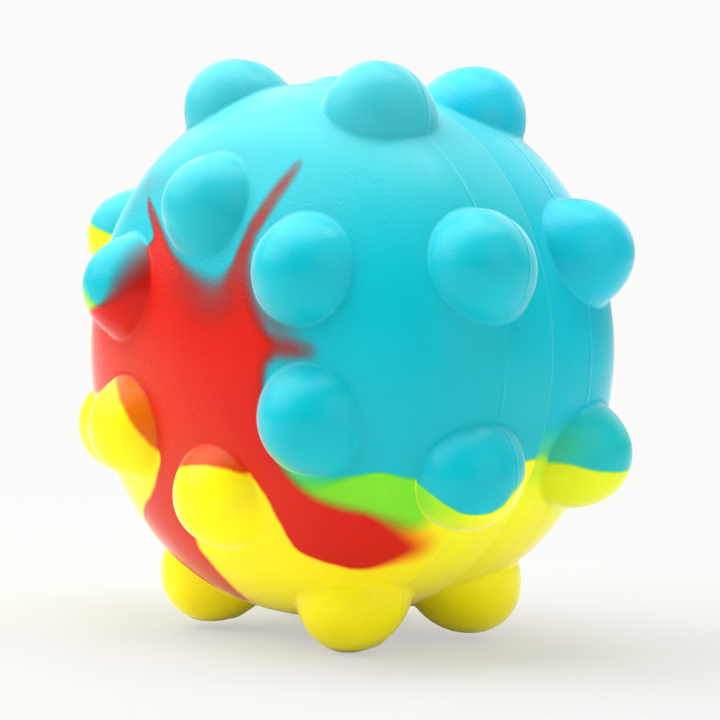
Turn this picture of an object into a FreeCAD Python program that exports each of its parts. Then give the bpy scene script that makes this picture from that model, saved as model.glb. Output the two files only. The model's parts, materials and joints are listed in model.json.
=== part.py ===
# Sensory ball: two moulded silicone half shells glued at the seam, with 28 bubbles that pop in
# Millimetres, +Z up, -Y is the front pole, origin on the floor under the middle of the ball
import FreeCAD
import Part

import math
import os

import Sketcher

doc = FreeCAD.newDocument("SensoryBall")
sizes = doc.addObject("Spreadsheet::Sheet", "Sizes")

# Driving dimensions: alias, value, what it measures
drivingSizes = [
    ("PoleHeight", 26.0, "seam plane to the pole of one half"),
    ("PoleArc", 60.0, "radius of the nearly flat arc round the pole"),
    ("PoleSweep", 19.25, "degrees that the pole arc turns through"),
    ("ShoulderArc", 30.0, "radius of the arc that follows it"),
    ("ShoulderSweep", 8.2, "degrees"),
    ("FlankArc", 16.4, "radius of the arc down to the mould's parting line"),
    ("FlankSweep", 55.9, "degrees"),
    ("FrontBandArc", 71.6, "radius of the front half's band, parting line to seam"),
    ("BackBandArc", 29.0, "the same on the back half, which tucks in under the front rim"),
    ("Wall", 2.5, "thickness of the half shells"),
    ("RimWall", 3.6, "thickness of the glued rim"),
    ("RimHeight", 1.0, "height of the glued rim, from the seam"),
    ("RidgeHeight", 0.2, "how far the parting line stands up"),
    ("RidgeWidth", 0.5, "its width"),
    ("BubbleHeight", 8.3, "a bubble's widest circle to its crown"),
    ("CrownArc", 6.1, "radius of a bubble's crown"),
    ("SideArc", 9.1, "radius of a bubble's side"),
    ("BubbleWall", 1.4, "thickness of a bubble"),
    ("BubbleDrop", 5.5, "how far a bubble's side runs below its widest circle"),
    ("BubbleGap", 0.12, "room between a bubble and the edge of its hole"),
    ("BaseFillet", 0.5, "radius where the shell turns up to a bubble"),
    ("PoleRingRadius", 16.4, "ball's axis to the middle of a pole bubble's widest circle"),
    ("PoleRingHeight", 20.2, "seam plane to the same point"),
    ("PoleTilt", 17.5, "degrees from the ball's axis to a pole bubble's own axis"),
    ("RimRingRadius", 29.9, "ball's axis to the middle of a rim bubble's widest circle"),
    ("RimRingHeight", 8.75, "seam plane to the same point"),
    ("RimTilt", 47.5, "degrees from the ball's axis to a rim bubble's own axis"),
    ("PairClock", 112.5, "degrees clockwise from straight up to where both rings line up"),
    ("SeamTwist", 3.6, "degrees that the halves are glued out of line"),
]
poleBubbles = 6
rimBubbles = 8

for row, (alias, value, meaning) in enumerate(drivingSizes, start=1):
    sizes.set(f"A{row}", alias)
    sizes.set(f"B{row}", str(value))
    sizes.set(f"C{row}", meaning)
    sizes.setAlias(f"B{row}", alias)
doc.recompute()

vAxis = -2
hAxis = -1
origin = (-1, 1)
start, end, centre = 1, 2, 3


def size(alias):
    return float(sizes.get(alias))


def makeBody(label):
    body = doc.addObject("PartDesign::Body", label)
    body.Label = label
    return body


def originFeature(body, role):
    return next(item for item in body.Origin.OriginFeatures if item.Role == role)


# A sketch on the plane through the body's X and Z axes, moved to (across, up) and leant over by tilt degrees
def makeSketch(body, name, across=0.0, up=0.0, tilt=0.0):
    sketch = body.newObject("Sketcher::SketchObject", name)
    sketch.AttachmentSupport = [(originFeature(body, "XZ_Plane"), "")]
    sketch.MapMode = "FlatFace"
    lean = FreeCAD.Rotation(FreeCAD.Vector(0, 0, 1), -tilt)
    sketch.AttachmentOffset = FreeCAD.Placement(FreeCAD.Vector(across, up, 0), lean)
    return sketch


def addArc(sketch, middle, radius, fromDegrees, toDegrees):
    circle = Part.Circle(FreeCAD.Vector(*middle, 0), FreeCAD.Vector(0, 0, 1), radius)
    arc = Part.ArcOfCircle(circle, math.radians(fromDegrees), math.radians(toDegrees))
    return sketch.addGeometry(arc, False)


def addLine(sketch, first, second):
    return sketch.addGeometry(Part.LineSegment(FreeCAD.Vector(*first, 0), FreeCAD.Vector(*second, 0)), False)


def constrain(sketch, *parts):
    return sketch.addConstraint(Sketcher.Constraint(*parts))


# A constraint whose value follows an expression on the sheet
def drive(sketch, name, expression, *parts):
    index = constrain(sketch, *parts)
    sketch.renameConstraint(index, name)
    sketch.setExpression(f"Constraints.{name}", expression)


def join(sketch, first, firstPoint, second, secondPoint):
    constrain(sketch, "Coincident", first, firstPoint, second, secondPoint)


# Middles, radii and directions of the four arcs from pole to seam, moved in by inset
def shellArcs(inset, bandAlias):
    radii = [size(alias) - inset for alias in ("PoleArc", "ShoulderArc", "FlankArc", bandAlias)]
    turns = [size(alias) for alias in ("PoleSweep", "ShoulderSweep", "FlankSweep")]
    across, up = 0.0, size("PoleHeight") - inset - radii[0]
    arcs, turned = [], 0.0
    for index, radius in enumerate(radii):
        last = index == len(turns)
        upTo = 90 - math.degrees(math.asin(-up / radius)) if last else turned + turns[index]
        arcs.append((across, up, radius, 90 - upTo, 90 - turned))
        turned = upTo
        if not last:
            shrink = radius - radii[index + 1]
            across += shrink * math.sin(math.radians(turned))
            up += shrink * math.cos(math.radians(turned))
    return arcs


def pointOnArc(arc, degrees):
    across, up, radius = arc[:3]
    angle = math.radians(degrees)
    return across + radius * math.cos(angle), up + radius * math.sin(angle)


# The closed outline of half the ball, seam plane to pole, moved in by a distance named on the sheet
def drawShellOutline(sketch, bandAlias, insetAlias=None):
    inset = size(insetAlias) if insetAlias else 0.0
    less = f" - Sizes.{insetAlias}" if insetAlias else ""
    arcs = shellArcs(inset, bandAlias)
    ids = [addArc(sketch, arc[:2], *arc[2:]) for arc in arcs]
    pole, flank, band = ids[0], ids[2], ids[3]
    floor = addLine(sketch, pointOnArc(arcs[3], arcs[3][3]), (0, 0))
    axis = addLine(sketch, (0, 0), pointOnArc(arcs[0], 90))
    for upper, lower in zip(ids, ids[1:]):
        constrain(sketch, "Tangent", upper, start, lower, end)
    constrain(sketch, "PointOnObject", pole, centre, vAxis)
    constrain(sketch, "PointOnObject", pole, end, vAxis)
    constrain(sketch, "PointOnObject", band, start, hAxis)
    join(sketch, band, start, floor, start)
    join(sketch, floor, end, *origin)
    join(sketch, axis, start, *origin)
    join(sketch, axis, end, pole, end)
    height = size("PoleHeight") - inset
    drive(sketch, "PoleHeight", f"Sizes.PoleHeight{less}", "DistanceY", *origin, pole, end, height)
    for arc, alias in zip(ids, ("PoleArc", "ShoulderArc", "FlankArc", bandAlias)):
        drive(sketch, alias, f"Sizes.{alias}{less}", "Radius", arc, size(alias) - inset)
    for arc, alias in zip(ids[: flank + 1], ("PoleSweep", "ShoulderSweep", "FlankSweep")):
        drive(sketch, alias, f"Sizes.{alias} * 1 deg", "Angle", arc, math.radians(size(alias)))


# A bubble's arcs, moved in by inset: both radii, how far the crown's middle lies up, and the side's back
def bubbleOval(inset=0.0):
    crown = size("CrownArc") - inset
    side = size("SideArc") - inset
    rise = size("BubbleHeight") - inset - crown
    reach = math.sqrt((side - crown) ** 2 - rise**2)
    return crown, side, rise, reach


# Crown and side arcs of a bubble about its own axis, from the crown down to drop below its widest circle
def drawBubbleArcs(sketch, prefix, insetExpression, inset, drop):
    crown, side, rise, reach = bubbleOval(inset)
    height = rise + crown
    bend = math.degrees(math.atan2(rise, reach))
    crownArc = addArc(sketch, (0, rise), crown, bend, 90)
    sideArc = addArc(sketch, (-reach, 0), side, -math.degrees(math.asin(drop / side)), bend)
    constrain(sketch, "Tangent", crownArc, start, sideArc, end)
    constrain(sketch, "PointOnObject", crownArc, centre, vAxis)
    constrain(sketch, "PointOnObject", crownArc, end, vAxis)
    constrain(sketch, "PointOnObject", sideArc, centre, hAxis)
    less = f" - {insetExpression}" if insetExpression else ""
    rows = [
        ("Height", f"Sizes.BubbleHeight{less}", ("DistanceY", *origin, crownArc, end, height)),
        ("Crown", f"Sizes.CrownArc{less}", ("Radius", crownArc, crown)),
        ("Side", f"Sizes.SideArc{less}", ("Radius", sideArc, side)),
        ("Drop", "Sizes.BubbleDrop", ("DistanceY", sideArc, start, *origin, drop)),
    ]
    for name, expression, parts in rows:
        drive(sketch, prefix + name, expression, *parts)
    foot = (side * math.sqrt(1 - (drop / side) ** 2) - reach, -drop)
    return crownArc, sideArc, foot, height


# A solid bubble's half section, grown by the gap where it is the tool that cuts the hole
def drawBubbleSolid(sketch, grown):
    gap = size("BubbleGap") if grown else 0.0
    crownArc, sideArc, foot, height = drawBubbleArcs(
        sketch, "Outer", "(-Sizes.BubbleGap)" if grown else None, -gap, size("BubbleDrop")
    )
    floor = addLine(sketch, foot, (0, foot[1]))
    axis = addLine(sketch, (0, foot[1]), (0, height))
    join(sketch, sideArc, start, floor, start)
    join(sketch, floor, end, axis, start)
    join(sketch, axis, end, crownArc, end)
    constrain(sketch, "PointOnObject", floor, end, vAxis)
    constrain(sketch, "Horizontal", floor)


def revolve(body, kind, name, sketch):
    feature = body.newObject(f"PartDesign::{kind}", name)
    feature.Profile = (sketch, [""])
    feature.ReferenceAxis = (sketch, ["V_Axis"])
    feature.Angle = 360
    sketch.Visibility = False
    doc.recompute()
    return feature


def repeatRound(body, name, feature, count):
    pattern = body.newObject("PartDesign::PolarPattern", name)
    pattern.Originals = [feature]
    pattern.Axis = (originFeature(body, "Z_Axis"), [""])
    pattern.Angle = 360
    pattern.Occurrences = count
    body.Tip = pattern
    doc.recompute()
    return pattern


# Each ring of bubbles: its name, how many, and the middle and lean of the first
def rings():
    return [
        ("Pole", poleBubbles, size("PoleRingRadius"), size("PoleRingHeight"), size("PoleTilt")),
        ("Rim", rimBubbles, size("RimRingRadius"), size("RimRingHeight"), size("RimTilt")),
    ]


def bindRing(sketch, ring):
    sketch.setExpression("AttachmentOffset.Base.x", f"Sizes.{ring}RingRadius")
    sketch.setExpression("AttachmentOffset.Base.y", f"Sizes.{ring}RingHeight")


# A bubble's place in the half shell's own frame, turned round the axis by degrees
def bubblePlace(across, up, tilt, degrees=0.0):
    turn = FreeCAD.Placement(FreeCAD.Vector(), FreeCAD.Rotation(FreeCAD.Vector(0, 0, 1), degrees))
    lean = FreeCAD.Rotation(FreeCAD.Vector(0, 1, 0), tilt)
    return turn.multiply(FreeCAD.Placement(FreeCAD.Vector(across, 0, up), lean))


def bubblePlaces():
    return [
        bubblePlace(across, up, tilt, 360 * index / count)
        for ring, count, across, up, tilt in rings()
        for index in range(count)
    ]


# How far a point lies from the nearest bubble's outer skin
def skinDistance(point, places):
    crown, side, rise, reach = bubbleOval()
    found = []
    for place in places:
        local = place.inverse().multVec(point)
        out, up = math.hypot(local.x, local.y), local.z
        onCrown = (up - rise) * reach > out * rise
        away = math.hypot(out, up - rise) - crown if onCrown else math.hypot(out + reach, up) - side
        found.append(abs(away))
    return min(found)


# A point on the face itself, the first that lies inside its edges on a grid over its surface
def pointOnFace(face, cells=8):
    uLow, uHigh, vLow, vHigh = face.ParameterRange
    for column in range(1, cells):
        for row in range(1, cells):
            u = uLow + (uHigh - uLow) * column / cells
            v = vLow + (vHigh - vLow) * row / cells
            if face.isPartOfDomain(u, v):
                return face.valueAt(u, v)
    return face.CenterOfMass


# The edges where the bubbles rise from the shell: each lies between a bubble's face and another
def bubbleFootEdges(shape, near=0.01):
    places = bubblePlaces()
    onSkin = {face.hashCode(): skinDistance(pointOnFace(face), places) < near for face in shape.Faces}
    names = []
    for number, edge in enumerate(shape.Edges, start=1):
        sides = [onSkin[face.hashCode()] for face in shape.ancestorsOfType(edge, Part.Face)]
        if len(sides) == 2 and sides[0] != sides[1]:
            names.append(f"Edge{number}")
    return names


# One half shell, with its own Z axis out through the pole
def makeHalfShell(label, bandAlias):
    body = makeBody(label)
    outline = makeSketch(body, "ShellOutline")
    drawShellOutline(outline, bandAlias)
    revolve(body, "Revolution", "ShellSolid", outline)
    for ring, count, across, up, tilt in rings():
        bulk = makeSketch(body, f"{ring}BubbleOutline", across, up, tilt)
        bindRing(bulk, ring)
        drawBubbleSolid(bulk, grown=False)
        raised = revolve(body, "Revolution", f"{ring}BubbleRaised", bulk)
        repeatRound(body, f"{ring}BubblesRaised", raised, count)

    raisedAll = body.Tip
    feet = bubbleFootEdges(raisedAll.Shape)
    filleted = body.newObject("PartDesign::Fillet", "BubbleFeet")
    filleted.Base = (raisedAll, feet)
    filleted.setExpression("Radius", "Sizes.BaseFillet")
    doc.recompute()

    addPartingRidge(body, bandAlias)
    cavity = makeSketch(body, "CavityOutline")
    drawShellOutline(cavity, bandAlias, "Wall")
    revolve(body, "Groove", "Cavity", cavity)
    addGluedRim(body, bandAlias)
    for ring, count, across, up, tilt in rings():
        hole = makeSketch(body, f"{ring}HoleOutline", across, up, tilt)
        bindRing(hole, ring)
        drawBubbleSolid(hole, grown=True)
        cut = revolve(body, "Groove", f"{ring}Hole", hole)
        repeatRound(body, f"{ring}Holes", cut, count)
    return body


# The thin raised line that the mould leaves round the half shell
def addPartingRidge(body, bandAlias):
    flank = shellArcs(0.0, bandAlias)[2]
    across, up = pointOnArc(flank, flank[3])
    ridge = makeSketch(body, "RidgeOutline", across, up)
    wide, tall = size("RidgeWidth") / 2, size("RidgeHeight")
    corners = [(-wide, -wide), (tall, 0), (-wide, wide)]
    lines = [addLine(ridge, corners[i], corners[(i + 1) % 3]) for i in range(3)]
    for first, second in ((0, 1), (1, 2), (2, 0)):
        join(ridge, lines[first], end, lines[second], start)
    constrain(ridge, "PointOnObject", lines[0], end, hAxis)
    constrain(ridge, "Vertical", lines[2])
    constrain(ridge, "Equal", lines[0], lines[1])
    drive(ridge, "Tall", "Sizes.RidgeHeight", "DistanceX", *origin, lines[0], end, tall)
    drive(ridge, "Deep", "Sizes.RidgeWidth / 2", "DistanceX", lines[0], start, *origin, wide)
    drive(ridge, "Wide", "Sizes.RidgeWidth", "DistanceY", lines[0], start, lines[2], start, 2 * wide)
    feature = body.newObject("PartDesign::Revolution", "PartingRidge")
    feature.Profile = (ridge, [""])
    feature.ReferenceAxis = (originFeature(body, "Z_Axis"), [""])
    feature.Angle = 360
    doc.recompute()


# The thicker rim inside the seam, where the halves are glued face to face
def addGluedRim(body, bandAlias):
    band = shellArcs(0.0, bandAlias)[3]
    outer = pointOnArc(band, band[3])[0]
    rim = makeSketch(body, "RimOutline", outer)
    thick, thin, high = size("RimWall"), size("Wall") / 2, size("RimHeight")
    corners = [(-thick, 0), (-thin, 0), (-thin, high + thick - thin), (-thick, high)]
    lines = [addLine(rim, corners[i], corners[(i + 1) % 4]) for i in range(4)]
    for first in range(4):
        join(rim, lines[first], end, lines[(first + 1) % 4], start)
    constrain(rim, "PointOnObject", lines[0], start, hAxis)
    constrain(rim, "Horizontal", lines[0])
    constrain(rim, "Vertical", lines[1])
    constrain(rim, "Vertical", lines[3])
    drive(rim, "Thick", "Sizes.RimWall", "DistanceX", lines[0], start, *origin, thick)
    drive(rim, "Thin", "Sizes.Wall / 2", "DistanceX", lines[0], end, *origin, thin)
    drive(rim, "High", "Sizes.RimHeight", "DistanceY", lines[3], end, lines[3], start, high)
    slope = "Sizes.RimHeight + Sizes.RimWall - Sizes.Wall / 2"
    drive(rim, "Slope", slope, "DistanceY", lines[1], start, lines[1], end, high + thick - thin)
    feature = body.newObject("PartDesign::Revolution", "GluedRim")
    feature.Profile = (rim, [""])
    feature.ReferenceAxis = (originFeature(body, "Z_Axis"), [""])
    feature.Angle = 360
    doc.recompute()


# One bubble: a thin dome about its own Z axis, cut off level with the inside of the shell
def makeBubble(label, across, up, tilt, bandAlias):
    body = makeBody(label)
    skin = makeSketch(body, "DomeOutline")
    drop = size("BubbleDrop")
    outerCrown, outerSide, outerFoot, outerTop = drawBubbleArcs(skin, "Outer", None, 0.0, drop)
    innerCrown, innerSide, innerFoot, innerTop = drawBubbleArcs(
        skin, "Inner", "Sizes.BubbleWall", size("BubbleWall"), drop
    )
    foot = addLine(skin, outerFoot, innerFoot)
    top = addLine(skin, (0, innerTop), (0, outerTop))
    join(skin, outerSide, start, foot, start)
    join(skin, innerSide, start, foot, end)
    join(skin, innerCrown, end, top, start)
    join(skin, outerCrown, end, top, end)
    revolve(body, "Revolution", "Dome", skin)

    inward = bubblePlace(across, up, tilt).inverse().Base
    trim = makeSketch(body, "TrimOutline", inward.x, inward.z, -tilt)
    drawShellOutline(trim, bandAlias, "Wall")
    revolve(body, "Groove", "InsideTrim", trim)
    return body


# A half shell's place on the standing ball, with where its rings line up turned to this clock angle
def halfPlace(poleDirection, clock, centreHeight):
    angle = math.radians(clock)
    pole = FreeCAD.Vector(0, poleDirection, 0)
    lined = FreeCAD.Vector(math.sin(angle), 0, math.cos(angle))
    rotation = FreeCAD.Rotation(lined, pole.cross(lined), pole, "ZXY")
    return FreeCAD.Placement(FreeCAD.Vector(0, 0, centreHeight), rotation)


# How far a rim bubble reaches below the middle of the ball, at this clock angle from straight down
def reachDown(degrees):
    down = math.cos(math.radians(degrees))
    along = math.sin(math.radians(size("RimTilt"))) * down
    crown, side, rise, reach = bubbleOval()
    flat = math.sqrt(1 - along**2)
    onCrown = along * reach > flat * rise
    skin = crown + rise * along if onCrown else side - reach * flat
    return size("RimRingRadius") * down + skin


# Turns from where the rings line up to each bubble of a ring, so that the first stands nearest straight up
def ringTurns(count):
    spacing = 360 / count
    first = spacing / 2 - (spacing / 2 - size("PairClock")) % spacing
    return [first + spacing * index - size("PairClock") for index in range(count)]


# One half of the ball: its shell and its rings of bubbles, all in place
def makeHalf(half, bandAlias, poleDirection, clock, centreHeight):
    place = halfPlace(poleDirection, clock, centreHeight)
    shell = makeHalfShell(f"{half}_half_shell", bandAlias)
    shell.Placement = place
    made = [shell]
    for ring, count, across, up, tilt in rings():
        for number, turn in enumerate(ringTurns(count), start=1):
            bubble = makeBubble(f"{half}_{ring.lower()}_bubble_{number}", across, up, tilt, bandAlias)
            bubble.Placement = place.multiply(bubblePlace(across, up, tilt, poleDirection * turn))
            made.append(bubble)
    return made


twist = size("SeamTwist") / 2
centreHeight = reachDown(180 / rimBubbles - twist)
pieces = makeHalf("front", "FrontBandArc", -1, size("PairClock") + twist, centreHeight)
pieces += makeHalf("back", "BackBandArc", 1, size("PairClock") - twist, centreHeight)
doc.recompute()

for item in doc.Objects:
    if "Invalid" in item.State or "Error" in item.State:
        raise RuntimeError(f"{item.Name} ({item.Label}) failed: {item.State}")
for piece in pieces:
    if piece.Shape.isNull() or not piece.Shape.isValid() or len(piece.Shape.Solids) != 1:
        raise RuntimeError(f"{piece.Label} has no valid single solid")

os.makedirs("parts", exist_ok=True)
for piece in pieces:
    piece.Shape.exportStep(f"parts/{piece.Label}.step")
    box = piece.Shape.BoundBox
    print(f"{piece.Label}: {piece.Shape.Volume:.0f} mm3, z {box.ZMin:.2f} to {box.ZMax:.2f}")
print(f"middle of the ball {centreHeight:.3f} above the floor")
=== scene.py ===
import json
import math

import bmesh
import bpy
import numpy as np
from mathutils import Matrix, Vector
from mathutils.geometry import delaunay_2d_cdt


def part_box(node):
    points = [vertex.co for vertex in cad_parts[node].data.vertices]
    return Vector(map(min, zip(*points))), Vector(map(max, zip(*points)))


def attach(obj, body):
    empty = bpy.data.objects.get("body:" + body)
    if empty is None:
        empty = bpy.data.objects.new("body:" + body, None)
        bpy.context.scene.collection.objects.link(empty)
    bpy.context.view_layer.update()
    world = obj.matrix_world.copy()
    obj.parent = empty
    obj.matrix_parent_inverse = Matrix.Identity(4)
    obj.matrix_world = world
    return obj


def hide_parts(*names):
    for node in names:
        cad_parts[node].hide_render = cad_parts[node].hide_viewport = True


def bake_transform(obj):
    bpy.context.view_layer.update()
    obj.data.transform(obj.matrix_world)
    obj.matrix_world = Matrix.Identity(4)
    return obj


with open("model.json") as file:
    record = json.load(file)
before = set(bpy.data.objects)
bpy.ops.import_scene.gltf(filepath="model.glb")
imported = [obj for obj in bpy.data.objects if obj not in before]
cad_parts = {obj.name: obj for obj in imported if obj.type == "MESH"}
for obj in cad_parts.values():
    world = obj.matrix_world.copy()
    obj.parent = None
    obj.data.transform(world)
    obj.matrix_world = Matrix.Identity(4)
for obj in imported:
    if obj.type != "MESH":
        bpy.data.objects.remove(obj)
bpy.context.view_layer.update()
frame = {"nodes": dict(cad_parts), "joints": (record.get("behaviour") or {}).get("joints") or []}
mm = 0.001

# The half shell's outline is four arcs that meet in line, from the pole to the seam
halfShell = {
    "poleHeight": 26.0,
    "arcs": (60.0, 30.0, 16.4),
    "sweeps": (19.25, 8.2, 55.9),
    "bandArc": {"front": 71.6, "back": 29.0},
    "pole": {"front": (0, -1, 0), "back": (0, 1, 0)},
    "edgeRound": 0.4,
    "edgeRows": 5,
    "rimInward": 1.2,
    "meshStep": 0.8,
    "weldWithin": 1e-7,
    "rowSpacing": 0.87,
    "roomRoundDomes": 0.45,
    "domeDepth": 9.0,
}

# The mould's parting line stands level with the end of the flank arc, over shell and bubbles alike
partingLine = {
    "tall": 0.1,
    "halfWidth": 0.36,
    "cuts": (-0.36, -0.24, -0.12, 0.0, 0.12, 0.24, 0.36),
    "drop": {"front": 0.0, "back": 0.95},
    "climbs": {"front": 20.0, "back": 0.5},
    "sag": 0.3,
    "sagGrows": 1.6,
    "settlePasses": 3,
}

# A bubble's skin is a crown arc and a side arc about its own axis, measured from its widest circle
bubble = {
    "height": 8.3,
    "crownArc": 6.1,
    "sideArc": 9.1,
    "ring": {"pole": (16.4, 20.2), "rim": (29.9, 8.75)},
    "footRound": 0.35,
    "apron": 1.1,
    "spokes": 72,
    "domeRows": 22,
    "footRows": (-0.7, -0.5, -0.35, -0.2, -0.1, 0.0, 0.1, 0.2, 0.35, 0.5, 0.75),
    "footTurn": (0.5, 2.4),
    "footPasses": 40,
    "neighbourReach": 26.0,
    "givesWay": (0.25, 1.2),
}


def unit(vectors):
    return vectors / np.linalg.norm(vectors, axis=-1, keepdims=True)


# Middle, radius and end direction of each arc of the outline, the directions measured from the pole
def outlineArcs(half):
    radii = (*halfShell["arcs"], halfShell["bandArc"][half])
    across, up, turned = 0.0, halfShell["poleHeight"] - radii[0], 0.0
    arcs = []
    for index, radius in enumerate(radii):
        last = index == len(radii) - 1
        turnsTo = math.acos(-up / radius) if last else turned + math.radians(halfShell["sweeps"][index])
        arcs.append((across, up, radius, turned, turnsTo))
        turned = turnsTo
        if not last:
            shrink = radius - radii[index + 1]
            across += shrink * math.sin(turned)
            up += shrink * math.cos(turned)
    return arcs


# Distance out from the plain outline, for points given by their distance from the axis and height above the seam
def outlineDistance(arcs, out, height):
    found = None
    for across, up, radius, _, turnsTo in arcs[::-1]:
        away = np.hypot(out - across, height - up) - radius
        direction = np.arctan2(out - across, height - up)
        found = away if found is None else np.where(direction <= turnsTo, away, found)
    return found


# Point on the outline at a length along it from the pole
def outlinePoint(arcs, length):
    length = np.asarray(length, float)
    out, height, begins = np.zeros_like(length), np.zeros_like(length), 0.0
    for across, up, radius, turnsFrom, turnsTo in arcs:
        inside = length >= begins
        direction = turnsFrom + (length - begins) / radius
        out = np.where(inside, across + radius * np.sin(direction), out)
        height = np.where(inside, up + radius * np.cos(direction), height)
        begins += radius * (turnsTo - turnsFrom)
    return out, height, begins


def outlineLength(arcs, out, height):
    found, ends = 0.0, sum(radius * (b - a) for _, _, radius, a, b in arcs)
    for across, up, radius, turnsFrom, turnsTo in arcs[::-1]:
        direction = np.arctan2(out - across, height - up)
        ends -= radius * (turnsTo - turnsFrom)
        here = ends + radius * (direction - turnsFrom)
        found = np.where((direction <= turnsTo) | (turnsTo == arcs[-1][4]), here, found)
    return found


# A bubble's skin at a direction turned from its axis: distance from the axis and height above the widest circle
riseOfCrown = bubble["height"] - bubble["crownArc"]
sideReach = math.sqrt((bubble["sideArc"] - bubble["crownArc"]) ** 2 - riseOfCrown**2)
crownEnds = math.atan2(sideReach, riseOfCrown)


def skinPoint(turned):
    onCrown = turned < crownEnds
    out = np.where(onCrown, bubble["crownArc"] * np.sin(turned), bubble["sideArc"] * np.sin(turned) - sideReach)
    up = np.where(onCrown, riseOfCrown + bubble["crownArc"] * np.cos(turned), bubble["sideArc"] * np.cos(turned))
    return out, up


def skinDistance(local):
    out, up = np.hypot(local[:, 0], local[:, 1]), local[:, 2]
    onCrown = (up - riseOfCrown) * sideReach > out * riseOfCrown
    crown = np.hypot(out, up - riseOfCrown) - bubble["crownArc"]
    return np.where(onCrown, crown, np.hypot(out + sideReach, up) - bubble["sideArc"])


# Where everything stands: opposite bubbles of a ring have the middle of the ball halfway between them
def boxMiddle(node):
    low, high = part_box(node)
    return (low + high) / 2


rimNodes = [name for name in frame["nodes"] if "front_rim_bubble" in name]
ballHeight = sum(boxMiddle(name).z for name in rimNodes) / len(rimNodes) / mm
ballMiddle = np.array((0, 0, ballHeight))


# Each bubble's place comes from the joint that lets it pop: its name, half, ring, middle and axes, its own axis last
def bubblePlaces():
    places = []
    for joint in frame["joints"]:
        name = joint["child"]
        half, ring = name.split("_")[:2]
        outward = -unit(np.array(joint["axis"], float))
        pole = np.array(halfShell["pole"][half], float)
        sideways = unit(outward - pole * (outward @ pole))
        across, up = bubble["ring"][ring]
        tangent = np.cross(pole, sideways)
        axes = np.array((np.cross(tangent, outward), tangent, outward))
        middle = sideways * across + pole * up
        places.append({"name": name, "half": half, "ring": ring, "axes": axes, "middle": middle})
    return places


# The half's own frame as rows: sideways, round and out through the pole
def halfAxes(half):
    pole = np.array(halfShell["pole"][half], float)
    up = np.array((0.0, 0.0, 1.0))
    return np.array((up, np.cross(pole, up), pole))


# Distance out from a half's whole skin: shell and bubbles join in a round foot, and the parting line stands up
def skinOf(half, places, withLine=True):
    arcs = outlineArcs(half)
    axes = halfAxes(half)
    _, flankUp, flankRadius, _, flankEnds = arcs[2]
    lineHeight = flankUp + flankRadius * math.cos(flankEnds) - partingLine["drop"][half]

    def sag(points):
        own = points @ axes.T
        above = np.maximum(outlineDistance(arcs, np.hypot(own[:, 0], own[:, 1]), own[:, 2]), 0)
        return partingLine["sag"] * (1 - np.exp(-((above / partingLine["sagGrows"]) ** 2)))

    def distance(points):
        own = points @ axes.T
        shell = outlineDistance(arcs, np.hypot(own[:, 0], own[:, 1]), own[:, 2])
        nearest = np.full(len(points), 1e3)
        for place in places:
            nearest = np.minimum(nearest, skinDistance((points - place["middle"]) @ place["axes"].T))
        foot = bubble["footRound"]
        inside = np.hypot(np.maximum(foot - shell, 0), np.maximum(foot - nearest, 0))
        joined = np.maximum(foot, np.minimum(shell, nearest)) - inside
        if not withLine:
            return joined
        away = np.clip((own[:, 2] + sag(points) - lineHeight) / partingLine["halfWidth"], -1, 1)
        tall = partingLine["tall"] * np.exp(-((np.maximum(shell, 0) / partingLine["climbs"][half]) ** 2))
        return joined - tall * (1 - away**2) ** 2

    return distance, arcs, axes, lineHeight, sag


def slope(distance, points, step=0.01):
    found = np.zeros_like(points)
    for axis in range(3):
        nudge = np.zeros(3)
        nudge[axis] = step
        found[:, axis] = distance(points + nudge) - distance(points - nudge)
    return unit(found)


def settle(distance, points, passes=6):
    for _ in range(passes):
        points = points - slope(distance, points) * distance(points)[:, None]
    return points


# A dome's grid: the crown point, then rings down its side, round the foot and onto the shell
def domeGrid(place, distance, arcs, axes):
    spokes = bubble["spokes"]
    angles = np.arange(spokes) * 2 * math.pi / spokes
    direction = np.stack((np.cos(angles), np.sin(angles), np.zeros(spokes)), 1)

    def toBall(out, up):
        local = direction * np.asarray(out)[:, None]
        local[:, 2] = up
        return local @ place["axes"] + place["middle"]

    def aboveShell(turned):
        own = toBall(*skinPoint(turned)) @ axes.T
        return outlineDistance(arcs, np.hypot(own[:, 0], own[:, 1]), own[:, 2])

    high, low = (np.full(spokes, turned) for turned in bubble["footTurn"])
    for _ in range(bubble["footPasses"]):
        middle = (high + low) / 2
        above = aboveShell(middle) > 0
        high, low = np.where(above, middle, high), np.where(above, low, middle)
    foot = (high + low) / 2

    rows = []
    footRows = bubble["footRows"]
    for share in np.linspace(0, 1, bubble["domeRows"] + 1)[1:]:
        rows.append(toBall(*skinPoint((foot + footRows[0] / bubble["sideArc"]) * share)))
    for along in footRows[1:]:
        if along <= 0:
            rows.append(toBall(*skinPoint(foot + along / bubble["sideArc"])))
        else:
            out, up = skinPoint(foot)
            rows.append(toBall(out + along, up))
    out, up = skinPoint(foot)
    rows.append(toBall(out + bubble["apron"], up))
    crown = place["middle"] + place["axes"][2] * bubble["height"]
    points = np.concatenate([crown[None], *rows])

    faces = [(0, 1 + spoke, 1 + (spoke + 1) % spokes) for spoke in range(spokes)]
    for row in range(len(rows) - 1):
        first, second = 1 + row * spokes, 1 + (row + 1) * spokes
        for spoke in range(spokes):
            after = (spoke + 1) % spokes
            faces.append((first + spoke, second + spoke, second + after, first + after))
    return settle(distance, points), faces


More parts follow.
